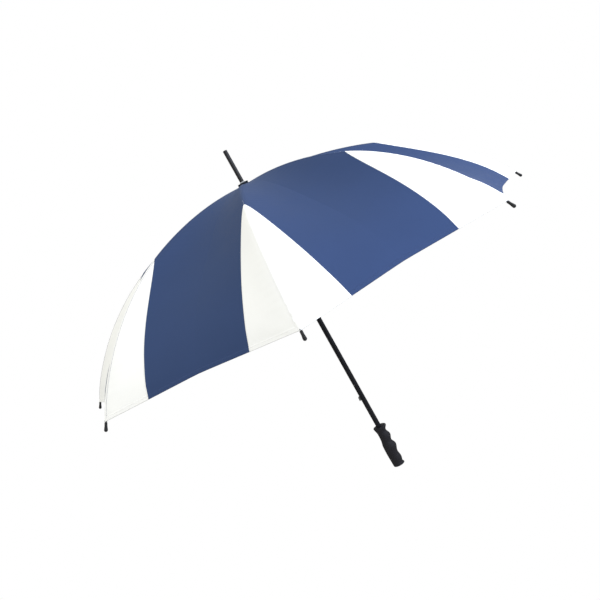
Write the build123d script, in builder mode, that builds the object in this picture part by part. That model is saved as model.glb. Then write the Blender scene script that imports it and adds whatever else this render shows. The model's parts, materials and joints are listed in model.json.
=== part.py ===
"""Golf umbrella, open: tubular shaft, finger-grooved handle, eight folding ribs and a canopy of eight gores.

Millimetres. The origin is the centre of the handle's bottom face and +Z runs up the shaft to the ferrule.
Rib 1 points along -Y, and the rib numbers run anticlockwise seen from above.
"""
from build123d import *
import os
from math import asin, atan2, cos, degrees, radians, sin, sqrt

os.makedirs("parts", exist_ok=True)

# Whole umbrella
total_length = 980.0
rib_count = 8
first_rib_azimuth = -90.0
rib_pitch = 360.0 / rib_count
half_pitch = radians(rib_pitch / 2)

# Shaft tube
shaft_radius = 7.0
shaft_bore_radius = 5.5
shaft_bottom = 14.0
shaft_top = 879.0

# Handle: section heights as shares of its length down from the top, with its reach to each side
handle_length = 124.0
handle_depth_share = 0.86
handle_sections = [
    # share down, reach on the finger side, reach on the palm side
    (0.00, 16.8, 17.0),
    (0.09, 15.2, 15.2),
    (0.18, 14.6, 13.7),
    (0.27, 18.0, 14.0),
    (0.36, 14.3, 15.2),
    (0.43, 14.4, 17.2),
    (0.53, 18.8, 18.3),
    (0.63, 15.0, 18.6),
    (0.74, 13.4, 18.6),
    (0.86, 14.9, 18.2),
    (1.00, 19.3, 17.4),
]
handle_edge_round = 1.6

# Ferrule, its collar and the canopy's cap
ferrule_radius = 5.75
ferrule_neck_radius = 5.0
ferrule_spigot_radius = 5.48
ferrule_spigot_length = 30.0
ferrule_tip_round = 1.2
collar_height = 7.5
collar_base_radius = 8.2
collar_top_radius = 6.8
collar_band_height = 1.5
collar_edge = 0.6
cap_radius = 14.5
cap_thickness = 1.6
cap_rise = 1.8
cap_rim_height = 7.4
cap_lip_width = 1.3
cap_dish_sink = 0.9
cap_over_canopy = 0.3
fixed_clearance = 0.02
cap_clearance = 0.05

# Linkage: each stretcher is as long as the chord from the notch to the rib joint
pivot_ring_radius = 12.0
notch_pivot_height = 872.3
stretcher_length = 315.0
rib_start_slope = radians(0.75)
inner_rib_curve = 928.0
outer_rib_curve = 647.0
outer_rib_arc = 431.0
closed_angle = 3.75
closed_rib_end_radius = 22.0

# Rods, eyes and wires
inner_rib_radius = 2.0
outer_rib_radius = 1.8
blade_half = 1.0
blade_half_height = 2.2
fork_inner_half = 1.1
fork_outer_half = 2.1
ear_inner_half = 2.2
ear_outer_half = 3.3
wire_radius = 0.6
wire_eye_radius = 0.72
rivet_radius = 1.1
rivet_eye_radius = 1.15
rivet_head_radius = 2.1
rivet_head_height = 0.8
inner_eye_to_rod = 10.0
outer_eye_to_rod = 14.5
blade_over_rod = 2.0
channel_half_height = 2.2
channel_floor = 0.8
stretcher_eye_to_channel = 15.0
channel_end_wall = 4.0
fork_length = 14.0
fork_end_room = 6.0

# Rib joint: its clamp lies between two distances back from the pivot along the inner rib
joint_body_start = 12.0
joint_body_end = 27.0
joint_body_half_height = 2.8
joint_edge = 0.6
joint_bore_clearance = 0.1
rod_short_of_clamp_face = 0.5
ear_into_body = 3.0
ear_inset = 0.6
ear_gap_reach = 9.0

# Tip caps
tip_cap_length = 19.0
tip_cap_base_radius = 2.9
tip_cap_end_radius = 3.8
tip_cap_past_rod = 5.8
tip_cap_flare_share = 0.45
tip_cap_bore_clearance = 0.15

# Notch and runner
hub_radius = 9.4
notch_radius = 15.0
notch_height = 16.0
notch_flange_height = 7.6
notch_above_pivot = 1.4
notch_edge_round = 0.5
slot_half_width = 1.2
groove_clearance = 0.03
runner_bore_radius = 7.05
runner_crown_radius = 15.5
runner_crown_above = 5.0
runner_crown_below = 7.0
runner_below = 70.0
runner_sleeve_radius = 10.5
runner_flange_radius = 13.0
runner_flange_height = 5.0
runner_flange_fall = 2.0
runner_neck_length = 5.0
runner_edge = 0.8

# Spring catches, on the side away from the finger grooves
catch_azimuth = 180.0
catch_half_thickness = 1.0
catch_stand_out = 5.0
catch_nose_length = 15.5
catch_nose_corner = 1.0
catch_nose_fall = 0.6
catch_ramp_length = 5.4
catch_pivot_distance = 33.5
catch_arm_inner = 2.5
catch_arm_outer = 5.2
catch_pin_radius = 0.8
catch_pin_clearance = 0.05
catch_gap = 0.6
catch_slot_room = 1.0
catch_window_room = 1.2
bottom_catch_low = 212.5

# Canopy
rib_to_canopy = 4.2
cloth_thickness = 0.5
canopy_hole_radius = 8.6
gore_gap_half = 0.15
hem_short_of_tip_cap = 0.6
hem_scallop = 12.5
gore_line_start = -8.0
gore_line_overrun = 1.03
gore_side_room = 5.0

# Linkage geometry, worked out from the sizes above, in an upright plane through a rib
inner_turn = 2 * asin(stretcher_length / 2 / inner_rib_curve)
joint_slope = rib_start_slope + inner_turn
outer_turn = outer_rib_arc / outer_rib_curve
chord_slope = rib_start_slope + inner_turn / 2
joint_r = pivot_ring_radius + stretcher_length * cos(chord_slope)
joint_z = notch_pivot_height - stretcher_length * sin(chord_slope)
runner_pivot_height = notch_pivot_height - 2 * stretcher_length * sin(chord_slope)
open_angle = 90.0 - degrees(chord_slope)
fold_range = open_angle - closed_angle
closed_runner_height = notch_pivot_height - 2 * stretcher_length * cos(radians(closed_angle))
closed_joint_r = pivot_ring_radius + stretcher_length * sin(radians(closed_angle))

# The outer rib's chord hangs at these angles from upright, open and closed, so it turns back on the inner rib
outer_chord = 2 * outer_rib_curve * sin(outer_turn / 2)
open_hang = 90.0 - degrees(joint_slope + outer_turn / 2)
closed_hang = degrees(asin((closed_rib_end_radius - closed_joint_r) / outer_chord))
flex_range = fold_range - open_hang + closed_hang


def rib_azimuth(number):
    return first_rib_azimuth + (number - 1) * rib_pitch


def upright_plane(azimuth, offset=0.0):
    """The upright plane through the shaft's axis: sketch x is the radius and sketch y the height."""
    a = radians(azimuth)
    across = Vector(sin(a), -cos(a), 0)
    return Plane(origin=across * offset, x_dir=(cos(a), sin(a), 0), z_dir=across)


def inner_rib_point(along, outward=0.0):
    """A point on the inner rib's line, at an angle of turn from the notch, moved outward from it."""
    slope = rib_start_slope + along
    radius = inner_rib_curve + outward
    r = pivot_ring_radius - inner_rib_curve * sin(rib_start_slope) + radius * sin(slope)
    z = notch_pivot_height - inner_rib_curve * cos(rib_start_slope) + radius * cos(slope)
    return r, z


def outer_rib_point(along, outward=0.0):
    """A point on the outer rib's line, at an angle of turn from the rib joint, moved outward from it."""
    slope = joint_slope + along
    radius = outer_rib_curve + outward
    r = joint_r - outer_rib_curve * sin(joint_slope) + radius * sin(slope)
    z = joint_z - outer_rib_curve * cos(joint_slope) + radius * cos(slope)
    return r, z


def beyond(point, slope, distance, outward=0.0):
    """A point further along a line that falls at a slope, and moved square to it."""
    r = point[0] + distance * cos(slope) + outward * sin(slope)
    z = point[1] - distance * sin(slope) + outward * cos(slope)
    return r, z


def save(part, name):
    part.label = name
    export_step(part, f"parts/{name}.step")


def in_plane(plane, point):
    return plane.from_local_coords((point[0], point[1], 0))


def blade(plane, start, slope, length):
    """A flat bar with a rounded end about start, in the rib's plane."""
    with BuildPart() as bar:
        with BuildSketch(plane):
            with Locations(beyond(start, slope, length / 2)):
                Rectangle(length, 2 * blade_half_height, rotation=-degrees(slope))
            with Locations(start):
                Circle(blade_half_height)
        extrude(amount=blade_half, both=True)
    return bar.part


def cross_pin(plane, centre, radius, half_length):
    """A round pin square to the rib's plane; taken away, it leaves an eye."""
    with BuildPart() as pin:
        with BuildSketch(plane):
            with Locations(centre):
                Circle(radius)
        extrude(amount=half_length, both=True)
    return pin.part


def rod(plane, start, middle, end, radius):
    """A round rod along the arc through three points of the rib's plane."""
    with BuildPart() as bar:
        with BuildLine() as path:
            ThreePointArc(in_plane(plane, start), in_plane(plane, middle), in_plane(plane, end))
        with BuildSketch(Plane(origin=path.line @ 0, z_dir=path.line % 0)):
            Circle(radius)
        sweep(path=path.line)
    return bar.part


# Shaft tube: wall slots let the two catches through, and cross holes hold their pins
top_catch_ledge = runner_pivot_height - runner_below - catch_gap
top_catch_low = top_catch_ledge - catch_nose_length
bottom_catch_high = bottom_catch_low + catch_nose_length
top_pin_height = top_catch_low - catch_pivot_distance
bottom_pin_height = bottom_catch_high + catch_pivot_distance
catch_arm_middle = (catch_arm_inner + catch_arm_outer) / 2
shaft_wall = shaft_radius - shaft_bore_radius

with BuildPart() as shaft_tube:
    with BuildSketch(Plane.XY.offset(shaft_bottom)):
        Circle(shaft_radius)
        Circle(shaft_bore_radius, mode=Mode.SUBTRACT)
    extrude(amount=shaft_top - shaft_bottom)
    for low in (bottom_catch_low, top_catch_low):
        with BuildSketch(upright_plane(catch_azimuth)):
            with Locations((shaft_bore_radius + shaft_wall / 2, low + catch_nose_length / 2)):
                Rectangle(3 * shaft_wall, catch_nose_length + 2 * catch_slot_room)
        extrude(amount=slot_half_width, both=True, mode=Mode.SUBTRACT)
    for height in (bottom_pin_height, top_pin_height):
        with BuildSketch(upright_plane(catch_azimuth)):
            with Locations((catch_arm_middle, height)):
                Circle(catch_pin_radius)
        extrude(amount=2 * shaft_radius, both=True, mode=Mode.SUBTRACT)
save(shaft_tube.part, "shaft_tube")

# Catch pins: two rivets across the tube, off its axis and flush with its outside
pin_half_length = sqrt(shaft_radius**2 - (catch_arm_middle + catch_pin_radius) ** 2) - 0.1
with BuildPart() as catch_pins:
    with BuildSketch(upright_plane(catch_azimuth)):
        with Locations((catch_arm_middle, bottom_pin_height), (catch_arm_middle, top_pin_height)):
            Circle(catch_pin_radius)
    extrude(amount=pin_half_length, both=True)
save(catch_pins.part, "catch_pins")


def catch(ledge, ramp_end, pin_height):
    """A flat spring catch: an arm inside the tube, a nose through the slot, an eye round its pin."""
    nose_top = shaft_radius + catch_stand_out
    toward = 1 if ramp_end > ledge else -1
    arm_half = (catch_arm_outer - catch_arm_inner) / 2
    plane = upright_plane(catch_azimuth)
    with BuildPart() as piece:
        with BuildSketch(plane):
            with BuildLine():
                Polyline(
                    (catch_arm_inner, ledge),
                    (nose_top - catch_nose_corner, ledge),
                    (nose_top, ledge + toward * catch_nose_corner),
                    (nose_top - catch_nose_fall, ramp_end - toward * catch_ramp_length),
                    (catch_arm_outer, ramp_end),
                    (catch_arm_outer, pin_height),
                    (catch_arm_inner, pin_height),
                    close=True,
                )
            make_face()
            with Locations((catch_arm_middle, pin_height)):
                Circle(arm_half)
                Circle(catch_pin_radius + catch_pin_clearance, mode=Mode.SUBTRACT)
        extrude(amount=catch_half_thickness, both=True)
    return piece.part


save(catch(bottom_catch_low, bottom_catch_high, bottom_pin_height), "bottom_catch")
save(catch(top_catch_ledge, top_catch_low, top_pin_height), "top_catch")

# Handle: ellipses lofted down the finger grooves, with a blind socket for the shaft
with BuildPart() as handle_grip:
    for share, finger_reach, palm_reach in handle_sections:
        with BuildSketch(Plane.XY.offset(handle_length * (1 - share))):
            with Locations(((finger_reach - palm_reach) / 2, 0)):
                half_width = (finger_reach + palm_reach) / 2
                Ellipse(half_width, half_width * handle_depth_share)
    loft()
    fillet(handle_grip.faces().filter_by(Axis.Z).edges(), handle_edge_round)
    with BuildSketch(Plane.XY.offset(shaft_bottom)):
        Circle(shaft_radius)
    extrude(amount=handle_length, mode=Mode.SUBTRACT)
save(handle_grip.part, "handle_grip")

# Ferrule: a round spike whose spigot plugs the top of the tube
cap_base = notch_pivot_height + rib_to_canopy + cap_over_canopy
collar_base = cap_base + cap_thickness + cap_rise
collar_top = collar_base + collar_height
with BuildPart() as ferrule:
    with BuildSketch(Plane.XY.offset(collar_top)):
        Circle(ferrule_radius)
    extrude(amount=total_length - collar_top)
    fillet(ferrule.faces().sort_by(Axis.Z)[-1].edges(), ferrule_tip_round)
    with BuildSketch(Plane.XY.offset(shaft_top)):
        Circle(ferrule_neck_radius)
    extrude(amount=collar_top - shaft_top)
    with BuildSketch(Plane.XY.offset(shaft_top)):
        Circle(ferrule_spigot_radius)
    extrude(amount=-ferrule_spigot_length)
save(ferrule.part, "ferrule")

# Canopy cap: a dished washer with a raised rim that holds the middle of the canopy down on the notch
rim_top = cap_base + cap_rim_height
lip_inside = (cap_radius - cap_lip_width, rim_top)
dish_middle = (
    (lip_inside[0] + collar_base_radius) / 2 + cap_dish_sink / 2,
    (rim_top + collar_base) / 2 - cap_dish_sink,
)
cap_bore_radius = shaft_radius + cap_clearance
with BuildPart() as canopy_cap:
    with BuildSketch(Plane.XZ):
        with BuildLine():
            Polyline(
                (cap_bore_radius, collar_base),
                (cap_bore_radius, cap_base),
                (cap_radius, cap_base),
                (cap_radius, rim_top),
                lip_inside,
            )
            ThreePointArc(lip_inside, dish_middle, (collar_base_radius, collar_base))
            Line((collar_base_radius, collar_base), (cap_bore_radius, collar_base))
        make_face()
    revolve(axis=Axis.Z)
save(canopy_cap.part, "canopy_cap")

# Ferrule collar: a plated ring round the ferrule's neck, standing on the cap
with BuildPart() as ferrule_collar:
    with BuildSketch(Plane.XZ):
        with BuildLine():
            Polyline(
                (ferrule_neck_radius + fixed_clearance, collar_base),
                (collar_base_radius, collar_base),
                (collar_base_radius, collar_base + collar_band_height),
                (collar_top_radius, collar_top - collar_edge),
                (collar_top_radius - collar_edge, collar_top),
                (ferrule_neck_radius + fixed_clearance, collar_top),
                close=True,
            )
        make_face()
    revolve(axis=Axis.Z)
save(ferrule_collar.part, "ferrule_collar")


def hinge_ring_cuts(low, wire_height, high, outer_radius):
    """What is cut from a notch: a slot for each rib's blade, and a groove, open above, for the wire."""
    half = wire_radius + groove_clearance
    slot_planes = [upright_plane(rib_azimuth(number)) for number in range(1, rib_count + 1)]
    with BuildPart() as cuts:
        with BuildSketch(*slot_planes):
            with Locations(((hub_radius + outer_radius) / 2, (low + high) / 2)):
                Rectangle(outer_radius - hub_radius, high - low)
        extrude(amount=slot_half_width, both=True)
        with BuildSketch(Plane.XY.offset(wire_height - half)):
            Circle(pivot_ring_radius + half)
            Circle(pivot_ring_radius - half, mode=Mode.SUBTRACT)
        extrude(amount=high - wire_height + half)
    return cuts.part


def wire_ring(height):
    with BuildPart() as ring:
        with BuildSketch(Plane.XZ):
            with Locations((pivot_ring_radius, height)):
                Circle(wire_radius)
        revolve(axis=Axis.Z)
    return ring.part


# Top notch: fixed to the shaft, with the inner ribs' eyes threaded on its wire
notch_top = notch_pivot_height + notch_above_pivot
notch_cuts = hinge_ring_cuts(notch_top - notch_height, notch_pivot_height, notch_top + 1, notch_radius + 1)
with BuildPart() as top_notch:
    with BuildSketch(Plane.XY.offset(notch_top - notch_height)):
        Circle(hub_radius)
    extrude(amount=notch_height)
    with BuildSketch(Plane.XY.offset(notch_top - notch_flange_height)):
        Circle(notch_radius)
    extrude(amount=notch_flange_height)
    fillet(top_notch.edges().filter_by(GeomType.CIRCLE).sort_by(Axis.Z)[-1], notch_edge_round)
    with BuildSketch(Plane.XY.offset(notch_top - notch_height)):
        Circle(shaft_radius + fixed_clearance)
    extrude(amount=notch_height, mode=Mode.SUBTRACT)
    add(notch_cuts, mode=Mode.SUBTRACT)
save(top_notch.part, "top_notch")
save(wire_ring(notch_pivot_height), "notch_wire")

# Runner: slides on the shaft, carries the stretchers, and its window takes the bottom catch
crown_top = runner_pivot_height + runner_crown_above
crown_low = runner_pivot_height - runner_crown_below
sleeve_low = runner_pivot_height - runner_below
flange_top = sleeve_low + runner_flange_height
window_low = bottom_catch_low - closed_runner_height - catch_window_room + runner_pivot_height
window_high = window_low + catch_nose_length + 2 * catch_window_room
crown_cuts = hinge_ring_cuts(crown_low, runner_pivot_height, crown_top + 1, runner_crown_radius + 1)
with BuildPart() as runner:
    with BuildSketch(Plane.XZ):
        with BuildLine():
            Polyline(
                (runner_bore_radius, sleeve_low),
                (runner_flange_radius - runner_edge, sleeve_low),
                (runner_flange_radius, sleeve_low + runner_edge),
                (runner_flange_radius, flange_top - runner_edge),
                (runner_sleeve_radius, flange_top - runner_edge + runner_flange_fall),
                (runner_sleeve_radius, crown_low - runner_neck_length),
                (runner_crown_radius, crown_low),
                (runner_crown_radius, crown_top),
                (runner_bore_radius, crown_top),
                close=True,
            )
        make_face()
    revolve(axis=Axis.Z)
    add(crown_cuts, mode=Mode.SUBTRACT)
    with BuildSketch(upright_plane(catch_azimuth)):
        with Locations((runner_sleeve_radius, (window_low + window_high) / 2)):
            Rectangle(runner_sleeve_radius, window_high - window_low)
    extrude(amount=2 * slot_half_width, both=True, mode=Mode.SUBTRACT)
save(runner.part, "runner")
save(wire_ring(runner_pivot_height), "runner_wire")


def make_inner_rib(number):
    """Glass-fibre rod with a flat eye on the notch wire; it ends inside the rib joint."""
    plane = upright_plane(rib_azimuth(number))
    start_turn = (inner_eye_to_rod - blade_over_rod) / inner_rib_curve
    end_turn = inner_turn - (joint_body_start + rod_short_of_clamp_face) / inner_rib_curve
    turns = (start_turn, (start_turn + end_turn) / 2, end_turn)
    flat = blade(plane, inner_rib_point(0), rib_start_slope, inner_eye_to_rod + blade_over_rod)
    bar = rod(plane, *[inner_rib_point(turn) for turn in turns], inner_rib_radius)
    wire_eye = cross_pin(plane, inner_rib_point(0), wire_eye_radius, 2 * blade_half)
    with BuildPart() as inner_rib:
        add(flat)
        add(bar)
        add(wire_eye, mode=Mode.SUBTRACT)
    save(inner_rib.part, f"inner_rib_{number}")


def make_rib_joint(number):
    """Clamp on the inner rib's end, with two ears and the rivet that the stretcher and outer rib turn on."""
    plane = upright_plane(rib_azimuth(number))
    pivot = (joint_r, joint_z)
    body_turn = (joint_body_start + joint_body_end) / 2 / inner_rib_curve
    body_middle = inner_rib_point(inner_turn - body_turn)
    body_slope = joint_slope - body_turn
    body_length = joint_body_end - joint_body_start
    with BuildPart() as joint:
        with BuildSketch(plane):
            with Locations(body_middle):
                Rectangle(body_length, 2 * joint_body_half_height, rotation=-degrees(body_slope))
        extrude(amount=ear_outer_half, both=True)
        chamfer(joint.edges(), joint_edge)
        ear_start = beyond(body_middle, body_slope, body_length / 2 - ear_into_body)
        ear_length = sqrt((pivot[0] - ear_start[0]) ** 2 + (pivot[1] - ear_start[1]) ** 2)
        ear_slope = atan2(ear_start[1] - pivot[1], pivot[0] - ear_start[0])
        ear_middle = ((pivot[0] + ear_start[0]) / 2, (pivot[1] + ear_start[1]) / 2)
        with BuildSketch(plane):
            with Locations(ear_middle):
                Rectangle(ear_length, 2 * (joint_body_half_height - ear_inset), rotation=-degrees(ear_slope))
            with Locations(pivot):
                Circle(joint_body_half_height)
        extrude(amount=ear_outer_half, both=True)
        with BuildSketch(plane):
            with Locations(pivot):
                Rectangle(2 * ear_gap_reach, 4 * joint_body_half_height, rotation=-degrees(ear_slope))
        extrude(amount=ear_inner_half, both=True, mode=Mode.SUBTRACT)
        bore_start = beyond(body_middle, body_slope, -joint_body_end)
        bore_direction = in_plane(plane, body_middle) - in_plane(plane, bore_start)
        with BuildSketch(Plane(origin=in_plane(plane, bore_start), z_dir=bore_direction)):
            Circle(inner_rib_radius + joint_bore_clearance)
        extrude(amount=2 * joint_body_end, mode=Mode.SUBTRACT)
        with BuildSketch(plane):
            with Locations(pivot):
                Circle(rivet_radius)
        extrude(amount=2 * ear_outer_half, both=True, mode=Mode.SUBTRACT)
    with BuildPart() as rivet:
        with BuildSketch(plane):
            with Locations(pivot):
                Circle(rivet_radius)
        extrude(amount=ear_outer_half, both=True)
        for side in (1, -1):
            with BuildSketch(upright_plane(rib_azimuth(number), side * ear_outer_half)):
                with Locations(pivot):
                    Circle(rivet_head_radius)
            extrude(amount=side * rivet_head_height)
    save(Compound(children=[joint.part, rivet.part]), f"rib_joint_{number}")


def make_outer_rib(number):
    """Thinner rod from the rib joint to the tip cap, with a flat eye on the joint's rivet."""
    plane = upright_plane(rib_azimuth(number))
    start_turn = (outer_eye_to_rod - blade_over_rod) / outer_rib_curve
    turns = (start_turn, (start_turn + outer_turn) / 2, outer_turn)
    flat = blade(plane, outer_rib_point(0), joint_slope, outer_eye_to_rod + blade_over_rod)
    bar = rod(plane, *[outer_rib_point(turn) for turn in turns], outer_rib_radius)
    rivet_eye = cross_pin(plane, outer_rib_point(0), rivet_eye_radius, 2 * blade_half)
    with BuildPart() as outer_rib:
        add(flat)
        add(bar)
        add(rivet_eye, mode=Mode.SUBTRACT)
    save(outer_rib.part, f"outer_rib_{number}")


def make_rib_tip(number):
    """Moulded cap on the rib's end: a tapered barrel with a ball end, and a blind bore for the rod."""
    azimuth = rib_azimuth(number)
    plane = upright_plane(azimuth)
    end = outer_rib_point(outer_turn)
    slope = joint_slope + outer_turn
    outward = in_plane(plane, beyond((0, 0), slope, 1.0))
    barrel = tip_cap_length - tip_cap_end_radius
    base = beyond(end, slope, tip_cap_past_rod - tip_cap_length)
    axis_plane = Plane(origin=in_plane(plane, base), x_dir=plane.z_dir, z_dir=outward)
    with BuildPart() as rib_tip:
        with BuildSketch(axis_plane):
            Circle(tip_cap_base_radius)
        with BuildSketch(axis_plane.offset(barrel * tip_cap_flare_share)):
            Circle(tip_cap_base_radius)
        with BuildSketch(axis_plane.offset(barrel)):
            Circle(tip_cap_end_radius)
        loft(ruled=True)
        with Locations(axis_plane.offset(barrel)):
            Sphere(tip_cap_end_radius)
        with BuildSketch(axis_plane):
            Circle(outer_rib_radius + tip_cap_bore_clearance)
        extrude(amount=tip_cap_length - tip_cap_past_rod + tip_cap_bore_clearance, mode=Mode.SUBTRACT)
    save(rib_tip.part, f"rib_tip_{number}")


def make_stretcher(number):
    """Folded channel from the runner's wire to the rib joint: a flat eye below, a two-cheek fork above."""
    plane = upright_plane(rib_azimuth(number))
    foot = (pivot_ring_radius, runner_pivot_height)
    slope = -chord_slope
    channel_length = stretcher_length - stretcher_eye_to_channel
    channel_middle = beyond(foot, slope, stretcher_eye_to_channel + channel_length / 2)
    hollow_start = stretcher_eye_to_channel + channel_end_wall
    hollow_middle = beyond(foot, slope, hollow_start + channel_length / 2, channel_floor)
    head = (joint_r, joint_z)
    fork_middle = beyond(head, slope, (fork_end_room - fork_length) / 2)
    flat = blade(plane, foot, slope, hollow_start - 1.0)
    wire_eye = cross_pin(plane, foot, wire_eye_radius, 2 * blade_half)
    rivet_eye = cross_pin(plane, head, rivet_eye_radius, 2 * fork_outer_half)
    with BuildPart() as stretcher:
        with BuildSketch(plane):
            with Locations(channel_middle):
                Rectangle(channel_length, 2 * channel_half_height, rotation=-degrees(slope))
            with Locations(head):
                Circle(channel_half_height)
        extrude(amount=fork_outer_half, both=True)
        with BuildSketch(plane):
            with Locations(hollow_middle):
                Rectangle(channel_length, 2 * channel_half_height, rotation=-degrees(slope))
            with Locations(fork_middle):
                Rectangle(fork_length + fork_end_room, 4 * channel_half_height, rotation=-degrees(slope))
        extrude(amount=fork_inner_half, both=True, mode=Mode.SUBTRACT)
        add(flat)
        add(wire_eye, mode=Mode.SUBTRACT)
        add(rivet_eye, mode=Mode.SUBTRACT)
    save(stretcher.part, f"stretcher_{number}")


def canopy_line(depth):
    """Points down a gore's middle, under the canopy's outside by a depth, from the hole to past the hem."""
    narrowing = cos(half_pitch)
    outward = rib_to_canopy - depth
    points = []
    inner_steps = 4
    outer_steps = 6
    first_turn = gore_line_start / inner_rib_curve
    for step in range(inner_steps):
        turn = first_turn + (inner_turn - first_turn) * step / inner_steps
        points.append(inner_rib_point(turn, outward))
    for step in range(outer_steps + 1):
        points.append(outer_rib_point(outer_turn * gore_line_overrun * step / outer_steps, outward))
    return [(r * narrowing, z) for r, z in points]


def make_gore(number):
    """Cloth gore between rib number and the next: level straight across, curved down its length."""
    azimuth = rib_azimuth(number) + rib_pitch / 2
    top_line = canopy_line(0.0)
    under_line = canopy_line(cloth_thickness)
    corner_back = tip_cap_length - tip_cap_past_rod + hem_short_of_tip_cap
    corner_turn = outer_turn - corner_back / outer_rib_curve
    middle_turn = corner_turn - hem_scallop / outer_rib_curve
    corner_radius = outer_rib_point(corner_turn, rib_to_canopy)[0]
    middle_radius = outer_rib_point(middle_turn, rib_to_canopy)[0] * cos(half_pitch)
    with BuildPart() as gore:
        with BuildSketch(upright_plane(azimuth)):
            with BuildLine():
                Spline(*top_line)
                Line(top_line[-1], under_line[-1])
                Spline(*under_line)
                Line(under_line[0], top_line[0])
            make_face()
        extrude(amount=corner_radius * sin(half_pitch) + gore_side_room, both=True)
        plan_origin = (0, 0, joint_z - corner_radius)
        plan = Plane(origin=plan_origin, x_dir=upright_plane(azimuth).x_dir, z_dir=(0, 0, 1))
        # the gore's edges stop short of the rib planes, so neighbouring gores stay clear of each other
        edge_shift = gore_gap_half / sin(half_pitch)
        corner = (corner_radius * cos(half_pitch), corner_radius * sin(half_pitch) - gore_gap_half)
        with BuildSketch(plan):
            with BuildLine():
                Line((edge_shift, 0), corner)
                ThreePointArc(corner, (middle_radius, 0), (corner[0], -corner[1]))
                Line((corner[0], -corner[1]), (edge_shift, 0))
            make_face()
            Circle(canopy_hole_radius, mode=Mode.SUBTRACT)
        extrude(amount=2 * corner_radius, mode=Mode.INTERSECT)
    save(gore.part, f"canopy_gore_{number}")


for rib_number in range(1, rib_count + 1):
    make_inner_rib(rib_number)
    make_rib_joint(rib_number)
    make_outer_rib(rib_number)
    make_rib_tip(rib_number)
    make_stretcher(rib_number)
    make_gore(rib_number)

tip_r, tip_z = outer_rib_point(outer_turn + tip_cap_past_rod / outer_rib_curve)
print(f"rib joint at radius {joint_r:.3f}, height {joint_z:.3f}")
print(f"runner pivots at {runner_pivot_height:.3f} open and {closed_runner_height:.3f} closed")
print(f"fold range {fold_range:.4f} degrees, outer rib flexes back {flex_range:.4f} degrees")
print(f"rib end at radius {tip_r:.2f}, height {tip_z:.2f}")
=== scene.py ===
"""Looks of the golf umbrella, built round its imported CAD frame: canopy, sewing, finishes, stage and camera.

Metres, in the frame's own axes: the origin is at the handle's end, +Z runs up the shaft and rib 1 lies
towards -Y. Each gore of the canopy is sewn to a rib at either side, so it is made as halves that ride on
those ribs. "Along" is the distance down a rib from its pivot in the notch, and "sideways" is the level
distance from the rib.
"""
import json
import math

import bpy
import numpy as np
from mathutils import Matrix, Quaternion, Vector


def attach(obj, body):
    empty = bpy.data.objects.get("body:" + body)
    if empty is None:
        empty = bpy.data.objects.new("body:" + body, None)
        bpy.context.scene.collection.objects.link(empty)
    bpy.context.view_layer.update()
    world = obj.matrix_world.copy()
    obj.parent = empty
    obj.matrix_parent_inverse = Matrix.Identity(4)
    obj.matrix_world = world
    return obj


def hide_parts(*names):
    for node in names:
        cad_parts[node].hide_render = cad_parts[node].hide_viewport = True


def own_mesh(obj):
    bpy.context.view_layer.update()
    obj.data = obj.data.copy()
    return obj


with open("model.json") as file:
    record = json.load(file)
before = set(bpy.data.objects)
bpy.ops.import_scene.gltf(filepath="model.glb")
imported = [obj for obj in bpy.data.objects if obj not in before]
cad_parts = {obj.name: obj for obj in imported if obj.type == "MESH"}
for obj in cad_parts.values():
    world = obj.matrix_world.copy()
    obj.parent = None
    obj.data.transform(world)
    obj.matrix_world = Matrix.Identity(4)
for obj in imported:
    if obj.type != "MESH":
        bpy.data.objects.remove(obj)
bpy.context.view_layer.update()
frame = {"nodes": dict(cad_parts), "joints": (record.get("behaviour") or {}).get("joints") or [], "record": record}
nodes = frame["nodes"]
joints = {joint["name"]: joint for joint in frame["joints"]}

# Ribs and canopy. INNER_CURVE and OUTER_CURVE are the radii that the two lengths of a rib are bent to.
RIB_COUNT = 8
FIRST_RIB_AZIMUTH = -math.pi / 2
PITCH = 2 * math.pi / RIB_COUNT
INNER_CURVE = 0.928
OUTER_CURVE = 0.647
OUTER_ARC = 0.431
CLOTH_OVER_RIB = 0.0042
CLOTH_OVER_TIP = 0.0026
COMES_DOWN_OVER = 0.05
CLOTH_THICKNESS = 0.0004
CANOPY_HOLE = 0.009
HEM_SHORT_OF_ROD = 0.0138
SCALLOP = 0.0155
SCALLOP_POWER = 1.3
WEDGE_START = 0.346
WEDGE_AT_HEM = 0.109
WEDGE_POWER = 0.83
WEDGE_LIMIT = 0.98

# Sag between the ribs. SAG_DEEPEST is a share of the way down, and RIDGE_ROUND of the half gore's width.
SAG = 0.044
SAG_DEEPEST = 0.55
SAG_AT_HEM = 0.38
RIDGE_ROUND = 0.06

# Puckers along the rib seams, with a beat and a drift so that no two are alike
PUCKER = 0.00022
PUCKER_LENGTH = 0.019
PUCKER_REACH = 0.014
PUCKER_START = 0.06
BEAT_MEAN = 0.6
BEAT_SWING = 0.4
BEAT_LENGTH = 0.071
DRIFT_SWING = 0.8
DRIFT_LENGTH = 0.053
PHASE_PER_GORE = 1.7
PHASE_PER_END = 2.3

# Folds that fan out from the tips
FOLD = 0.0007
FOLD_COUNT = 9
FOLD_START = 0.035
FOLD_REACH = 0.10

# Sewing
HEM_WIDTH = 0.009
HEM_RAISE = 0.00035
SEAM_HALF_WIDTH = 0.0048
SEAM_RAISE = 0.00035
SEAM_SINK = 0.00002
SEAM_LIMIT = 0.9
SEAM_SHORT_OF_HOLE = 0.004
SEAM_SHORT_OF_HEM = 0.0004
INNER_SEAM_ROWS = 64
OUTER_SEAM_ROWS = 90

# The outer half gore's top edge laps under the inner one
LAP = 0.003
LAP_SLOPE = 0.12
LAP_DEPTH = 0.00055
LAP_SHARES = [1.0, 0.5, 0.03]

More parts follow.
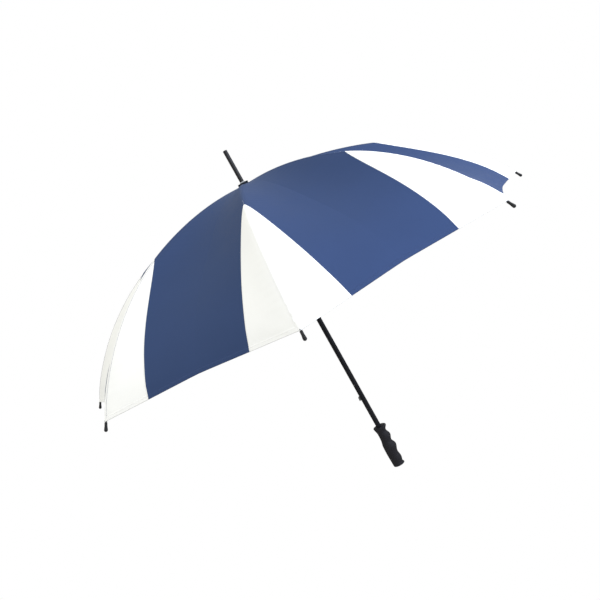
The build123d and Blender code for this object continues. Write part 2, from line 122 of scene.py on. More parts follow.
# Columns of points in the cloth, as shares of the white wedge and of the blue beyond it, and rows at the hem
WHITE_SHARES = [0, 0.03, 0.075, 0.14, 0.24, 0.37, 0.52, 0.68, 0.84, 1]
BLUE_SHARES = [0.04, 0.12, 0.24, 0.38, 0.53, 0.68, 0.84, 1]
HEM_STEPS = [0.030, 0.024, 0.018, 0.013, 0.0102, 0.0096, 0.0090, 0.0060, 0.0030, 0.0010, 0.0]
ROW_STEP = 0.0055
HEM_PASSES = 3
MERGE = 0.00004
SMALLEST_ROW = 0.0001
SMALLEST_SHARE = 0.000001
SMALLEST_SIDEWAYS = 0.00001

share_of_wedge = np.array(WHITE_SHARES + [1.0] * len(BLUE_SHARES))
share_beyond_wedge = np.array([0.0] * len(WHITE_SHARES) + BLUE_SHARES)
column_count = len(share_of_wedge)


def rib_plane(point):
    """Radius and height of a point on a rib's plane."""
    return math.hypot(point[0], point[1]), point[2]


notch_r, notch_z = rib_plane(joints["rib_1_fold"]["pos_m"])
joint_r, joint_z = rib_plane(joints["outer_rib_1_flex"]["pos_m"])
inner_chord = math.hypot(joint_r - notch_r, notch_z - joint_z)
inner_chord_slope = math.atan2(notch_z - joint_z, joint_r - notch_r)
inner_turn = 2 * math.asin(inner_chord / 2 / INNER_CURVE)
inner_length = inner_turn * INNER_CURVE
start_slope = inner_chord_slope - inner_turn / 2
joint_slope = inner_chord_slope + inner_turn / 2
corner_along = inner_length + OUTER_ARC - HEM_SHORT_OF_ROD
half_tangent = math.tan(PITCH / 2)
half_width_share = math.sin(PITCH / 2) * math.cos(PITCH / 2)


def rib_line(along, outward):
    """Radius, height and slope over a rib, at a distance along it and a height off it."""
    inner = along <= inner_length
    curve = np.where(inner, INNER_CURVE, OUTER_CURVE)
    first = np.where(inner, start_slope, joint_slope)
    slope = first + (along - np.where(inner, 0, inner_length)) / curve
    r = np.where(inner, notch_r, joint_r) - curve * np.sin(first) + (curve + outward) * np.sin(slope)
    z = np.where(inner, notch_z, joint_z) - curve * np.cos(first) + (curve + outward) * np.cos(slope)
    return r, z, slope


def smooth(x):
    """0 below 0, 1 above 1, and a smooth step between."""
    x = np.clip(x, 0, 1)
    return x * x * (3 - 2 * x)


def cloth_height(along):
    """How far the cloth's outside lies off the rib's line: it comes down to the tip cap at the hem."""
    drop = smooth((along - corner_along + COMES_DOWN_OVER) / COMES_DOWN_OVER)
    return CLOTH_OVER_RIB - (CLOTH_OVER_RIB - CLOTH_OVER_TIP) * drop


def half_width(along):
    """Sideways distance from the rib to the gore's middle."""
    return rib_line(along, cloth_height(along))[0] * half_width_share


def hem_along(across_share):
    """Along at the hem; across_share is 0 at the rib and 1 in the gore's middle."""
    return corner_along - SCALLOP * (1 - np.abs(1 - across_share) ** SCALLOP_POWER)


def wedge_edge(along):
    """Sideways distance of the colour seam from the rib."""
    share = np.clip((along - WEDGE_START) / (corner_along - WEDGE_START), 0, None)
    return WEDGE_AT_HEM * share ** WEDGE_POWER


def column_places(along):
    """Sideways distance of each column of points: white columns out to the colour seam, then blue ones."""
    full_width = half_width(along)
    edge = np.minimum(wedge_edge(along), full_width * WEDGE_LIMIT)
    return edge * share_of_wedge + (full_width - edge) * share_beyond_wedge


def rib_azimuth(number):
    return FIRST_RIB_AZIMUTH + (number - 1) * PITCH


def gore_beside(number, side):
    """The gore at one side of a rib: gore 1 lies between ribs 1 and 2."""
    return number if side > 0 else (number - 2) % RIB_COUNT + 1


def ripple(along, across_share, sideways, gore, side):
    """Height of the cloth's own relief: sag between ribs, puckers at the rib seams, folds from the tips."""
    down = along / corner_along
    sag_share = smooth(down / SAG_DEEPEST)
    sag_share = sag_share * (1 - (1 - SAG_AT_HEM) * smooth((down - SAG_DEEPEST) / (1 - SAG_DEEPEST)))
    off_rib = np.sqrt(across_share ** 2 + RIDGE_ROUND ** 2) - RIDGE_ROUND
    height = -SAG * sag_share * off_rib * (2 - off_rib)
    width = sideways / np.maximum(across_share, SMALLEST_SHARE)
    across_gore = side * (across_share - 1)
    from_corner = np.maximum(corner_along - along, 0)
    drift = DRIFT_SWING * np.sin(along / DRIFT_LENGTH)
    for end in (-1, 1):
        from_rib = np.maximum(width * (1 + end * across_gore), 0)
        phase = PHASE_PER_GORE * gore + PHASE_PER_END * end
        beat = BEAT_MEAN + BEAT_SWING * np.sin(along / BEAT_LENGTH + phase)
        wave = np.sin(2 * math.pi * along / PUCKER_LENGTH + phase + drift)
        near = from_rib / PUCKER_REACH
        height = height + PUCKER * beat * wave * near * np.exp(1 - near) * smooth(along / PUCKER_START)
        from_tip = np.hypot(from_rib, from_corner)
        angle = np.arctan2(from_rib, from_corner)
        fan = np.sin(FOLD_COUNT * angle + phase) * np.sin(angle)
        height = height + FOLD * fan * smooth(from_tip / FOLD_START) * np.exp(-from_tip / FOLD_REACH)
    return height


def gore_point(number, side, along, sideways, relief):
    """Points on the half gore at one side of a rib: level lines run straight across between the ribs."""
    azimuth = rib_azimuth(number)
    r, z, slope = rib_line(along, cloth_height(along))
    middle = azimuth + side * PITCH / 2
    gore_slope = np.arctan2(np.sin(slope), np.cos(slope) * math.cos(PITCH / 2))
    radial = r - half_tangent * sideways
    x = radial * math.cos(azimuth) - side * sideways * math.sin(azimuth)
    y = radial * math.sin(azimuth) + side * sideways * math.cos(azimuth)
    x = x + relief * np.sin(gore_slope) * math.cos(middle)
    y = y + relief * np.sin(gore_slope) * math.sin(middle)
    z = z + relief * np.cos(gore_slope)
    return np.stack([x, y, z], axis=-1)


def make_piece(name, vertices, faces, materials, face_materials=None, sharp_angle=40):
    mesh = bpy.data.meshes.new(name)
    mesh.from_pydata([tuple(v) for v in vertices], [], faces)
    for material in materials:
        mesh.materials.append(material)
    if face_materials is not None:
        mesh.polygons.foreach_set("material_index", face_materials)
    mesh.polygons.foreach_set("use_smooth", [True] * len(mesh.polygons))
    mesh.validate()
    mesh.set_sharp_from_angle(angle=math.radians(sharp_angle))
    piece = bpy.data.objects.new(name, mesh)
    bpy.context.scene.collection.objects.link(piece)
    return piece


def shell(name, top, bottom, column_materials, materials, flip, maps):
    """A closed sheet between two grids of points. Points of a row that coincide share one vertex."""
    rows, columns = top.shape[:2]
    index = np.zeros((rows, columns), int)
    kept = []
    for i in range(rows):
        for j in range(columns):
            if j and np.linalg.norm(top[i, j] - top[i, j - 1]) < MERGE:
                index[i, j] = index[i, j - 1]
            else:
                index[i, j] = len(kept)
                kept.append((i, j))
    count = len(kept)
    vertices = [top[i, j] for i, j in kept] + [bottom[i, j] for i, j in kept]
    faces = []
    face_materials = []

    def face(corners, material):
        ring = [c for k, c in enumerate(corners) if c != corners[k - 1]]
        if len(ring) > 2:
            faces.append(ring[::-1] if flip else ring)
            face_materials.append(material)

    for i in range(rows - 1):
        for j in range(columns - 1):
            a, b, c, d = index[i, j], index[i + 1, j], index[i + 1, j + 1], index[i, j + 1]
            face([a, b, c, d], column_materials[j])
            face([count + d, count + c, count + b, count + a], column_materials[j])
    left = [(index[i, 0], index[i + 1, 0], column_materials[0]) for i in range(rows - 1)]
    right = [(index[i + 1, -1], index[i, -1], column_materials[-1]) for i in range(rows - 1)]
    first = [(index[0, j + 1], index[0, j], column_materials[j]) for j in range(columns - 1)]
    last = [(index[-1, j], index[-1, j + 1], column_materials[j]) for j in range(columns - 1)]
    for a, b, material in left + right + first + last:
        if a != b:
            face([b, a, count + a, count + b], material)
    piece = make_piece(name, vertices, faces, materials, face_materials)
    for map_name, values in maps.items():
        layer = piece.data.attributes.new(map_name, "FLOAT_VECTOR", "POINT")
        both_grids = np.array([values[i, j] for i, j in kept] * 2, np.float32)
        layer.data.foreach_set("vector", both_grids.ravel())
    return piece


def inner_grid():
    """Rows from the canopy's hole to the rib joint: along, depth of the lap and raise of the hem."""
    first = CANOPY_HOLE - notch_r
    rows = np.linspace(first, inner_length, round((inner_length - first) / ROW_STEP) + 1)
    along = np.repeat(rows[:, None], column_count, axis=1)
    return along, np.zeros_like(along), np.zeros_like(along)


def hem_row(short):
    """Along at each column, for a row of points that runs a short distance above the hem."""
    along = np.full(column_count, corner_along)
    for _ in range(HEM_PASSES):
        along = hem_along(column_places(along) / half_width(along)) - short
    return along


def outer_grid():
    """Rows from the lap at the rib joint to the hem: along, depth of the lap and raise of the hem."""
    body_end = corner_along - SCALLOP - HEM_STEPS[0]
    level = np.ones(column_count)
    lap_width = LAP + LAP_SLOPE * column_places(inner_length * level)
    rows = [inner_length - share * lap_width for share in LAP_SHARES]
    body_rows = round((body_end - inner_length) / ROW_STEP) + 1
    rows += [place * level for place in np.linspace(inner_length, body_end, body_rows)]
    rows += [np.maximum(hem_row(short), body_end + SMALLEST_ROW) for short in HEM_STEPS]
    along = np.array(rows)
    depth = np.zeros_like(along)
    depth[:len(LAP_SHARES)] = LAP_DEPTH
    raised = np.zeros_like(along)
    for row, short in enumerate(HEM_STEPS, len(rows) - len(HEM_STEPS)):
        raised[row] = HEM_RAISE if short <= HEM_WIDTH else 0
    return along, depth, raised


def half_gore(number, side, part, cloths):
    """Half of a gore as a closed thin sheet, from the notch to the rib joint or from there to the hem."""
    gore = gore_beside(number, side)
    along, depth, raised = inner_grid() if part == "inner" else outer_grid()
    across = column_places(along)
    share = across / half_width(along)
    relief = ripple(along, share, across, gore, side) - depth
    top = gore_point(number, side, along, across, relief + raised)
    bottom = gore_point(number, side, along, across, relief - CLOTH_THICKNESS - raised)
    column_materials = [1] * (len(WHITE_SHARES) - 1) + [0] * len(BLUE_SHARES)
    from_colour_seam = np.abs(across - wedge_edge(along))
    maps = {
        "cloth_place": np.stack([across / math.cos(PITCH / 2), along, np.zeros_like(along)], axis=-1),
        "cloth_edges": np.stack([across, hem_along(share) - along, from_colour_seam], axis=-1),
    }
    name = f"canopy_{part}_{number}_{'left' if side > 0 else 'right'}"
    piece = shell(name, top, bottom, column_materials, cloths, side < 0, maps)
    body = f"{part}_rib_{number}"
    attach(piece, body)
    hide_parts(f"canopy_gore_{gore}")
    crumple(piece)


def crumple(piece):
    """Gives the half gore its own copy of its mesh."""
    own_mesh(piece)


def rib_seam(number, part, cloths):
    """The felled seam over a rib: a narrow strip that follows both gores, blue at the top, then white."""
    if part == "inner":
        along = np.linspace(CANOPY_HOLE - notch_r + SEAM_SHORT_OF_HOLE, inner_length, INNER_SEAM_ROWS)
    else:
        along = np.linspace(inner_length, corner_along - SEAM_SHORT_OF_HEM, OUTER_SEAM_ROWS)
        along = np.sort(np.append(along, WEDGE_START))
    side_edge = np.minimum(SEAM_HALF_WIDTH, half_width(along) * SEAM_LIMIT)
    white_edge = np.minimum(wedge_edge(along), side_edge)
    ridge = np.zeros_like(along)
    columns = [(-1, side_edge), (-1, white_edge), (1, ridge), (1, white_edge), (1, side_edge)]
    tops = [seam_point(number, side, along, places, SEAM_RAISE) for side, places in columns]
    bottoms = [seam_point(number, side, along, places, -SEAM_SINK) for side, places in columns]
    top = np.stack(tops, axis=1)
    bottom = np.stack(bottoms, axis=1)
    across = np.stack([side * places for side, places in columns], axis=1)
    along_grid = np.repeat(along[:, None], len(columns), axis=1)
    maps = {
        "cloth_place": np.stack([across, along_grid, np.zeros_like(across)], axis=-1),
        "cloth_edges": np.stack([np.abs(across), corner_along - along_grid, np.ones_like(across)], axis=-1),
    }
    piece = shell(f"rib_seam_{part}_{number}", top, bottom, [0, 1, 1, 0], cloths, False, maps)
    body = f"{part}_rib_{number}"
    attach(piece, body)


def seam_point(number, side, along, sideways, lift):
    """Points on a seam strip, lifted off the cloth. A column with no width runs along the rib's ridge."""
    if not np.any(sideways):
        azimuth = rib_azimuth(number)
        r, z, _ = rib_line(along, cloth_height(along) + lift)
        return np.stack([r * math.cos(azimuth), r * math.sin(azimuth), z], axis=-1)
    share = sideways / half_width(along)
    relief = ripple(along, share, np.maximum(sideways, SMALLEST_SIDEWAYS), gore_beside(number, side), side)
    return gore_point(number, side, along, sideways, relief + lift)


# Sewing thread round the ribs
THREAD_RADIUS = 0.0003
TURN_SPACING = 1.9
RING_POINTS = 28
THREAD_POINTS = 8
THREAD_SHARP_ANGLE = 80
ROD_RADIUS = {"inner": 0.0020, "outer": 0.0018}
TIE_PLACES = {"inner": [0.17], "outer": [inner_length + 0.10, inner_length + 0.25]}
TIE_TURNS = 4
TIE_LIFT = 0.0009
TIE_HALF_HEIGHT = 0.0031
TIP_TURNS = 5
TIP_SHORT_OF_HEM = 0.0022
TIP_LIFT = 0.0003
TIP_HALF_HEIGHT = 0.0024
TIP_HALF_WIDTH = 0.0022


def thread_wrap(name, number, along, turns, lift, half_height, half_breadth, material):
    """Turns of sewing thread round a rib: closed rings side by side, square to the rib."""
    azimuth = rib_azimuth(number)
    radial = np.array([math.cos(azimuth), math.sin(azimuth), 0])
    tangent = np.array([-math.sin(azimuth), math.cos(azimuth), 0])
    up = np.array([0, 0, 1])
    vertices = []
    faces = []
    for turn in range(turns):
        place = along + (turn - (turns - 1) / 2) * THREAD_RADIUS * TURN_SPACING
        r, z, slope = (float(value) for value in rib_line(np.array(place), lift))
        down = radial * math.cos(slope) - up * math.sin(slope)
        out = radial * math.sin(slope) + up * math.cos(slope)
        centre = radial * r + up * z
        base = len(vertices)
        for k in range(RING_POINTS):
            a = 2 * math.pi * k / RING_POINTS
            point = centre + tangent * half_breadth * math.cos(a) + out * half_height * math.sin(a)
            normal = tangent * math.cos(a) / half_breadth + out * math.sin(a) / half_height
            normal = normal / np.linalg.norm(normal)
            for m in range(THREAD_POINTS):
                b = 2 * math.pi * m / THREAD_POINTS
                vertices.append(point + THREAD_RADIUS * (normal * math.cos(b) + down * math.sin(b)))
        for k in range(RING_POINTS):
            ring = base + k * THREAD_POINTS
            next_ring = base + (k + 1) % RING_POINTS * THREAD_POINTS
            for m in range(THREAD_POINTS):
                n = (m + 1) % THREAD_POINTS
                faces.append([ring + m, ring + n, next_ring + n, next_ring + m])
    piece = make_piece(name, vertices, faces, [material], sharp_angle=THREAD_SHARP_ANGLE)
    return piece


# Materials: shared parts


def new_material(name, colour, roughness, **sockets):
    """A Principled material. Socket names are given with underscores for spaces."""
    material = bpy.data.materials.new(name)
    material.use_nodes = True
    shader = material.node_tree.nodes["Principled BSDF"]
    shader.inputs["Base Color"].default_value = (*colour, 1)
    shader.inputs["Roughness"].default_value = roughness
    for socket, value in sockets.items():
        shader.inputs[socket.replace("_", " ")].default_value = value
    return material, material.node_tree, shader


def calc(tree, operation, a, b=None):
    """A Math node. Its inputs are numbers or other nodes' outputs."""
    made = tree.nodes.new("ShaderNodeMath")
    made.operation = operation
    for socket, value in zip(made.inputs, (a, b)):
        if value is None:
            continue
        if isinstance(value, (int, float)):
            socket.default_value = value
        else:
            tree.links.new(value, socket)
    return made.outputs[0]


def ramp(tree, value, low, high, out_low=0.0, out_high=1.0):
    """A smooth step from out_low to out_high as the value goes from low to high."""
    made = tree.nodes.new("ShaderNodeMapRange")
    made.interpolation_type = "SMOOTHSTEP"
    tree.links.new(value, made.inputs["Value"])
    made.inputs["From Min"].default_value = low
    made.inputs["From Max"].default_value = high
    made.inputs["To Min"].default_value = out_low
    made.inputs["To Max"].default_value = out_high
    return made.outputs["Result"]


def mix_colours(tree, factor, first, second):
    made = tree.nodes.new("ShaderNodeMix")
    made.data_type = "RGBA"
    tree.links.new(factor, made.inputs[0])
    for socket, value in ((made.inputs[6], first), (made.inputs[7], second)):
        if isinstance(value, tuple):
            socket.default_value = (*value, 1)
        else:
            tree.links.new(value, socket)
    return made.outputs[2]


def toned(colour, times):
    """A colour made paler, or darker where times is below 1."""
    return tuple(min(1.0, value * times) for value in colour)


def scaled(tree, vector, scale):
    made = tree.nodes.new("ShaderNodeMapping")
    made.inputs["Scale"].default_value = scale
    tree.links.new(vector, made.inputs["Vector"])
    return made.outputs["Vector"]


def object_place(tree, stretch=1.0):
    """The piece's own coordinates in metres, which move with it. A low stretch draws patterns out on Z."""
    place = tree.nodes.new("ShaderNodeTexCoord")
    return scaled(tree, place.outputs["Object"], (1, 1, stretch))


def noise(tree, place, scale, detail=3.0, roughness=0.5):
    made = tree.nodes.new("ShaderNodeTexNoise")
    made.inputs["Scale"].default_value = scale
    made.inputs["Detail"].default_value = detail
    made.inputs["Roughness"].default_value = roughness
    tree.links.new(place, made.inputs["Vector"])
    return made.outputs["Fac"]


def bump(tree, height, strength, distance, under=None):
    made = tree.nodes.new("ShaderNodeBump")
    made.inputs["Strength"].default_value = strength
    made.inputs["Distance"].default_value = distance
    tree.links.new(height, made.inputs["Height"])
    if under is not None:
        tree.links.new(under, made.inputs["Normal"])
    return made.outputs["Normal"]


def piece_map(tree, name):
    """A map stored on the piece's points: the whole vector, and its parts one by one."""
    made = tree.nodes.new("ShaderNodeAttribute")
    made.attribute_name = name
    split = tree.nodes.new("ShaderNodeSeparateXYZ")
    tree.links.new(made.outputs["Vector"], split.inputs[0])
    return made.outputs["Vector"], split.outputs["X"], split.outputs["Y"], split.outputs["Z"]


# Cloth
THREAD_PITCH = 0.00042
STITCH_PITCH = 0.0028
STITCH_FILL = 0.7
STITCH_FADE = 0.06
STITCH_HALF_WIDTH = 0.0005
HEM_STITCH_FROM_HEM = 0.0072
RIB_STITCH_FROM_RIB = 0.0034
COLOUR_STITCH_FROM_SEAM = 0.0022
# Painted shade along the colour seams and at the hem's edge: how strong it is, and how dark its colour is
PAINTED_SHADE_STRENGTH = 0.45
SLUB_STRETCH = (1.0, 0.06, 1.0)
SHEEN_TINT = (0.6, 0.75, 0.9, 1.0)


def dashes(tree, place):
    """1 on each stitch and 0 in the gap after it, along a distance in metres."""
    cycle = calc(tree, "FRACT", calc(tree, "DIVIDE", place, STITCH_PITCH))
    from_middle = calc(tree, "ABSOLUTE", calc(tree, "SUBTRACT", cycle, 0.5))
    return ramp(tree, from_middle, STITCH_FILL / 2 + STITCH_FADE, STITCH_FILL / 2 - STITCH_FADE)


def stitch_line(tree, distance, place, run):
    """A line of stitches at a place in one distance, running along another."""
    off = calc(tree, "ABSOLUTE", calc(tree, "SUBTRACT", distance, place))
    line = ramp(tree, off, STITCH_HALF_WIDTH, STITCH_HALF_WIDTH * 0.3)
    return calc(tree, "MULTIPLY", line, dashes(tree, run))


def thread_wave(tree, distance):
    return calc(tree, "SINE", calc(tree, "MULTIPLY", distance, 2 * math.pi / THREAD_PITCH))


def cloth_material(name, colour, deep, stitch_colour, sheen):
    """Plain-woven polyester: fine threads, cloudy tone, a stitched hem, rib seams and colour seams, and painted
    shade that darkens the cloth along the colour seams and at the hem's edge.
    """
    material, tree, shader = new_material(
        name, colour, 0.68, Specular_IOR_Level=0.06, Sheen_Weight=sheen, Sheen_Roughness=0.45,
        Sheen_Tint=SHEEN_TINT)
    place, across, along, _ = piece_map(tree, "cloth_place")
    _, from_rib, from_hem, from_colour = piece_map(tree, "cloth_edges")

    weave = calc(tree, "MULTIPLY", thread_wave(tree, across), thread_wave(tree, along))
    cloudy = noise(tree, place, scale=9.0, detail=4.0)
    slubs = noise(tree, scaled(tree, place, SLUB_STRETCH), scale=900.0, detail=2.0)
    hem_stitch = stitch_line(tree, from_hem, HEM_STITCH_FROM_HEM, across)
    rib_stitch = stitch_line(tree, from_rib, RIB_STITCH_FROM_RIB, along)
    colour_stitch = stitch_line(tree, from_colour, COLOUR_STITCH_FROM_SEAM, along)
    stitches = calc(tree, "MAXIMUM", calc(tree, "MAXIMUM", hem_stitch, rib_stitch), colour_stitch)
    # Masks for painted shade: the cloth is darkened in a thin line at the colour seams and at the hem's edge,
    # where creases and the turned hem would be in shadow
    colour_seam_painted_shade = ramp(tree, from_colour, 0.0006, 0.0)
    hem_edge_painted_shade = ramp(tree, from_hem, 0.0012, 0.0002)
    seam_allowance = ramp(tree, from_colour, 0.0031, 0.0024)

    tone = calc(tree, "ADD", calc(tree, "MULTIPLY", cloudy, 0.7), calc(tree, "MULTIPLY", slubs, 0.3))
    base = mix_colours(tree, ramp(tree, tone, 0.3, 0.7), deep, colour)
    # The painted shade is mixed into the cloth's colour here
    painted_shade_amount = calc(tree, "MULTIPLY", calc(tree, "MAXIMUM", colour_seam_painted_shade, hem_edge_painted_shade), PAINTED_SHADE_STRENGTH)
    colour_with_painted_shade = mix_colours(tree, painted_shade_amount, base, toned(deep, PAINTED_SHADE_STRENGTH))
    stitched = mix_colours(tree, stitches, colour_with_painted_shade, stitch_colour)
    tree.links.new(stitched, shader.inputs["Base Color"])
    tree.links.new(ramp(tree, cloudy, 0.2, 0.8, 0.62, 0.75), shader.inputs["Roughness"])

    fine = bump(tree, weave, strength=0.12, distance=0.00006)
    soft = bump(tree, slubs, strength=0.10, distance=0.00015, under=fine)
    fold_over = bump(tree, seam_allowance, strength=0.5, distance=0.0003, under=soft)
    sewn = bump(tree, stitches, strength=0.7, distance=0.00035, under=fold_over)
    tree.links.new(sewn, shader.inputs["Normal"])
    return material


# Hard parts


def moulded_material(name, colour, roughness, grain_scale, grain_depth, worn, **sockets):
    """Black moulded plastic or rubber: fine grain, cloudy gloss, and slightly paler handled patches."""
    material, tree, shader = new_material(name, colour, roughness, **sockets)
    place = object_place(tree)
    grain = noise(tree, place, grain_scale, detail=2.0, roughness=0.6)
    cloudy = noise(tree, place, scale=38.0, detail=4.0, roughness=0.6)
    scuff_pattern = noise(tree, object_place(tree, stretch=0.25), scale=260.0, detail=5.0, roughness=0.7)
    scuffs = ramp(tree, scuff_pattern, 0.62, 0.78)
    tint = mix_colours(tree, ramp(tree, cloudy, 0.35, 0.75), colour, toned(colour, 1.35))
    tint = mix_colours(tree, calc(tree, "MULTIPLY", scuffs, 0.5), tint, worn)
    tree.links.new(tint, shader.inputs["Base Color"])
    even_gloss = ramp(tree, cloudy, 0.3, 0.7, roughness - 0.05, roughness + 0.06)
    gloss = calc(tree, "ADD", even_gloss, calc(tree, "MULTIPLY", scuffs, 0.12))
    tree.links.new(gloss, shader.inputs["Roughness"])
    tree.links.new(bump(tree, grain, strength=0.5, distance=grain_depth), shader.inputs["Normal"])
    return material


def drawn_material(name, colour, roughness, depth, **sockets):
    """A drawn, rolled or lacquered rod or wire: a finely broken gloss and a cloudy tone."""
    material, tree, shader = new_material(name, colour, roughness, **sockets)
    place = object_place(tree)
    speckle = noise(tree, place, scale=420.0, detail=3.0, roughness=0.65)
    cloudy = noise(tree, place, scale=24.0)
    tint = mix_colours(tree, ramp(tree, cloudy, 0.3, 0.75), colour, toned(colour, 1.3))
    tree.links.new(tint, shader.inputs["Base Color"])
    gloss = ramp(tree, speckle, 0.3, 0.75, roughness - 0.06, roughness + 0.10)
    tree.links.new(gloss, shader.inputs["Roughness"])
    tree.links.new(bump(tree, speckle, strength=0.35, distance=depth), shader.inputs["Normal"])
    return material


def lacquer_material(name, colour, roughness, worn):
    """Black lacquer over glass fibre: faint lengthwise fibres and small rubs where the runner slides."""
    material, tree, shader = new_material(name, colour, roughness, Specular_IOR_Level=0.07)
    fibres = noise(tree, object_place(tree, stretch=0.012), scale=1400.0, detail=2.0)
    rub_pattern = noise(tree, object_place(tree, stretch=0.05), scale=340.0, detail=5.0, roughness=0.7)
    rubs = ramp(tree, rub_pattern, 0.60, 0.74)
    cloudy = noise(tree, object_place(tree), scale=30.0)
    tint = mix_colours(tree, ramp(tree, cloudy, 0.35, 0.7), colour, toned(colour, 1.4))
    tint = mix_colours(tree, calc(tree, "MULTIPLY", rubs, 0.35), tint, worn)
    tree.links.new(tint, shader.inputs["Base Color"])
    even_gloss = ramp(tree, fibres, 0.3, 0.7, roughness - 0.04, roughness + 0.05)
    gloss = calc(tree, "ADD", even_gloss, calc(tree, "MULTIPLY", rubs, 0.14))
    tree.links.new(gloss, shader.inputs["Roughness"])
    tree.links.new(bump(tree, fibres, strength=0.25, distance=0.00005), shader.inputs["Normal"])
    return material


blue_cloth = cloth_material(
    "blue_cloth", (0.036, 0.062, 0.150), deep=(0.033, 0.058, 0.141), stitch_colour=(0.04, 0.07, 0.17),
    sheen=0.03)
white_cloth = cloth_material(
    "white_cloth", (0.92, 0.92, 0.91), deep=(0.89, 0.89, 0.885), stitch_colour=(0.80, 0.80, 0.80),
    sheen=0.0)
cloths = [blue_cloth, white_cloth]
thread, _, _ = new_material("sewing_thread", (0.05, 0.05, 0.055), 0.7)

BLACK = (0.012, 0.012, 0.014)
WORN_BLACK = (0.04, 0.04, 0.04)
finishes = {
    "shaft": lacquer_material("shaft_lacquer", (0.010, 0.010, 0.012), 0.34, worn=(0.05, 0.05, 0.052)),
    "handle": moulded_material(
        "handle_rubber", (0.012, 0.0115, 0.014), 0.62, grain_scale=1500.0, grain_depth=0.00012,
        worn=(0.026, 0.026, 0.029), Specular_IOR_Level=0.18),
    "ferrule": moulded_material(
        "ferrule_plastic", BLACK, 0.34, grain_scale=1100.0, grain_depth=0.00003,
        worn=(0.04, 0.04, 0.042), Specular_IOR_Level=0.25),
    "collar": drawn_material("collar_chrome", (0.36, 0.38, 0.43), 0.16, depth=0.00002, Metallic=1.0),
    "cap": moulded_material(
        "cap_plastic", (0.014, 0.018, 0.026), 0.62, grain_scale=1200.0, grain_depth=0.00004,
        worn=(0.04, 0.042, 0.05), Specular_IOR_Level=0.06),
    "notch": moulded_material(
        "notch_nylon", BLACK, 0.48, grain_scale=1000.0, grain_depth=0.00006, worn=WORN_BLACK),
    "wire": drawn_material("hinge_wire", (0.48, 0.48, 0.49), 0.30, depth=0.00002, Metallic=1.0),
    "catch": drawn_material("catch_steel", (0.13, 0.13, 0.135), 0.36, depth=0.00003, Metallic=0.9),
    "runner": moulded_material(
        "runner_nylon", BLACK, 0.44, grain_scale=1000.0, grain_depth=0.00006, worn=(0.045, 0.045, 0.045)),
    "rib": drawn_material("rib_fibre", (0.020, 0.020, 0.022), 0.34, depth=0.00004),
    "joint": drawn_material("joint_steel", (0.42, 0.42, 0.43), 0.34, depth=0.00004, Metallic=1.0),
    "tip": moulded_material(
        "tip_plastic", (0.010, 0.010, 0.011), 0.42, grain_scale=1100.0, grain_depth=0.00004,
        worn=WORN_BLACK, Specular_IOR_Level=0.2),
    "stretcher": drawn_material("stretcher_lacquer", (0.018, 0.018, 0.02), 0.32, depth=0.00004),
}
slot_of = {entry["node"]: entry["material_slot"] for entry in frame["record"]["subparts"]}
for node_name, node in nodes.items():
    if slot_of[node_name] in finishes:
        node.data.materials.clear()
        node.data.materials.append(finishes[slot_of[node_name]])

# Canopy and sewing
for rib in range(1, RIB_COUNT + 1):
    for part in ("inner", "outer"):
        for side in (1, -1):
            half_gore(rib, side, part, cloths)
        rib_seam(rib, part, cloths)
        for count, place in enumerate(TIE_PLACES[part], 1):
            tie = thread_wrap(
                f"rib_tie_{part}_{rib}_{count}", rib, place, TIE_TURNS, TIE_LIFT, TIE_HALF_HEIGHT,
                ROD_RADIUS[part] + THREAD_RADIUS, thread)
            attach(tie, f"{part}_rib_{rib}")
    wrap = thread_wrap(
        f"tip_thread_{rib}", rib, corner_along - TIP_SHORT_OF_HEM, TIP_TURNS, TIP_LIFT, TIP_HALF_HEIGHT,
        TIP_HALF_WIDTH, thread)
    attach(wrap, f"outer_rib_{rib}")


# Stage, light and camera
FLOOR_HALF_SIZE = 60.0
FLOOR_HEIGHT = -2.2
FLOOR_SHADE = 0.48
BRIGHT_SIDE = (0.47, -0.2, 0.86)
DIM_LIGHT = 0.40
BRIGHT_LIGHT = 1.30
SURROUND_TINT = (1.0, 1.0, 0.95, 1.0)
WHITE = (1.0, 1.0, 1.0, 1.0)
KEY_POWER = 27.0
KEY_SIZE = 1.6
KEY_TINT = (0.82, 0.93, 1.2)
KEY_PLACE = (1.52, -1.06, 0.75)
KEY_TARGET = (0, 0, 0.55)
CAMERA_TARGET = (-0.0193, 0.0, 0.538)
CAMERA_AZIMUTH = math.radians(3.86)
CAMERA_ELEVATION = math.radians(5.9)
CAMERA_ROLL = math.radians(29.3)
CAMERA_DISTANCE = 1.6805
CAMERA_LENS = 37.25
CAMERA_SENSOR = 36.0


def camera_choice(tree, for_light, for_camera):
    """One shader for the light it gives, and another for what the camera sees."""
    path = tree.nodes.new("ShaderNodeLightPath")
    choice = tree.nodes.new("ShaderNodeMixShader")
    tree.links.new(path.outputs["Is Camera Ray"], choice.inputs[0])
    tree.links.new(for_light, choice.inputs[1])
    tree.links.new(for_camera, choice.inputs[2])
    return choice.outputs[0]


def make_floor():
    """A wide floor well below the umbrella: it gives back dim light, and looks white to the camera."""
    half = FLOOR_HALF_SIZE
    mesh = bpy.data.meshes.new("studio_floor")
    corners = [(-half, -half), (half, -half), (half, half), (-half, half)]
    mesh.from_pydata([(x, y, FLOOR_HEIGHT) for x, y in corners], [], [(0, 1, 2, 3)])
    floor = bpy.data.objects.new("studio_floor", mesh)
    bpy.context.scene.collection.objects.link(floor)
    pale, tree, shader = new_material("studio_pale", (FLOOR_SHADE,) * 3, 0.9, Specular_IOR_Level=0.0)
    white = tree.nodes.new("ShaderNodeEmission")
    seen = camera_choice(tree, shader.outputs[0], white.outputs[0])
    tree.links.new(seen, tree.nodes["Material Output"].inputs["Surface"])
    mesh.materials.append(pale)


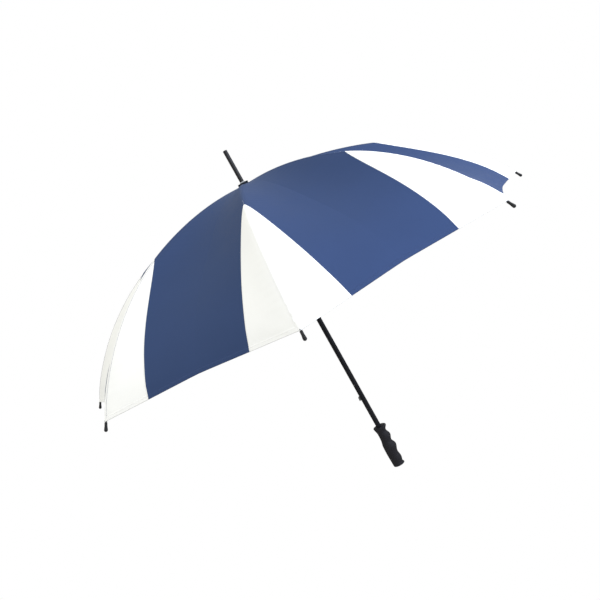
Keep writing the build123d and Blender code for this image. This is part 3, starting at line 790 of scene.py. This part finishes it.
def make_world():
    """White to the camera. As light it is dimmer from below and from the far side, as in a white studio."""
    world = bpy.data.worlds.new("studio_white")
    world.use_nodes = True
    tree = world.node_tree
    tree.nodes.clear()
    direction = tree.nodes.new("ShaderNodeTexCoord")
    toward_bright = tree.nodes.new("ShaderNodeVectorMath")
    toward_bright.operation = "DOT_PRODUCT"
    tree.links.new(direction.outputs["Generated"], toward_bright.inputs[0])
    toward_bright.inputs[1].default_value = BRIGHT_SIDE
    lighting = tree.nodes.new("ShaderNodeBackground")
    lighting.inputs["Color"].default_value = SURROUND_TINT
    strength = ramp(tree, toward_bright.outputs["Value"], -1.0, 1.0, DIM_LIGHT, BRIGHT_LIGHT)
    tree.links.new(strength, lighting.inputs["Strength"])
    surround = tree.nodes.new("ShaderNodeBackground")
    surround.inputs["Color"].default_value = WHITE
    output = tree.nodes.new("ShaderNodeOutputWorld")
    seen = camera_choice(tree, lighting.outputs[0], surround.outputs[0])
    tree.links.new(seen, output.inputs["Surface"])
    bpy.context.scene.world = world


def make_key_light():
    """One broad lamp beside the canopy, on the side of the handle's finger grooves and a little in front."""
    data = bpy.data.lights.new("key_light", "AREA")
    data.energy = KEY_POWER
    data.size = KEY_SIZE
    data.color = KEY_TINT
    light = bpy.data.objects.new("key_light", data)
    bpy.context.scene.collection.objects.link(light)
    light.location = KEY_PLACE
    toward_light = light.location - Vector(KEY_TARGET)
    light.rotation_euler = toward_light.to_track_quat("Z", "Y").to_euler()


def make_camera():
    """Seen from just above the ribs' ends, along rib 1, with the shaft leaning over to the left."""
    back = Vector((
        math.sin(CAMERA_AZIMUTH) * math.cos(CAMERA_ELEVATION),
        -math.cos(CAMERA_AZIMUTH) * math.cos(CAMERA_ELEVATION),
        math.sin(CAMERA_ELEVATION),
    ))
    data = bpy.data.cameras.new("camera")
    data.lens = CAMERA_LENS
    data.sensor_width = CAMERA_SENSOR
    camera = bpy.data.objects.new("camera", data)
    bpy.context.scene.collection.objects.link(camera)
    camera.location = Vector(CAMERA_TARGET) + back * CAMERA_DISTANCE
    level = (-back).to_track_quat("-Z", "Y")
    camera.rotation_mode = "QUATERNION"
    camera.rotation_quaternion = level @ Quaternion((0, 0, 1), -CAMERA_ROLL)
    bpy.context.scene.camera = camera


make_floor()
make_world()
make_key_light()
make_camera()
bpy.context.scene.view_settings.view_transform = "Standard"

bpy.context.view_layer.update()
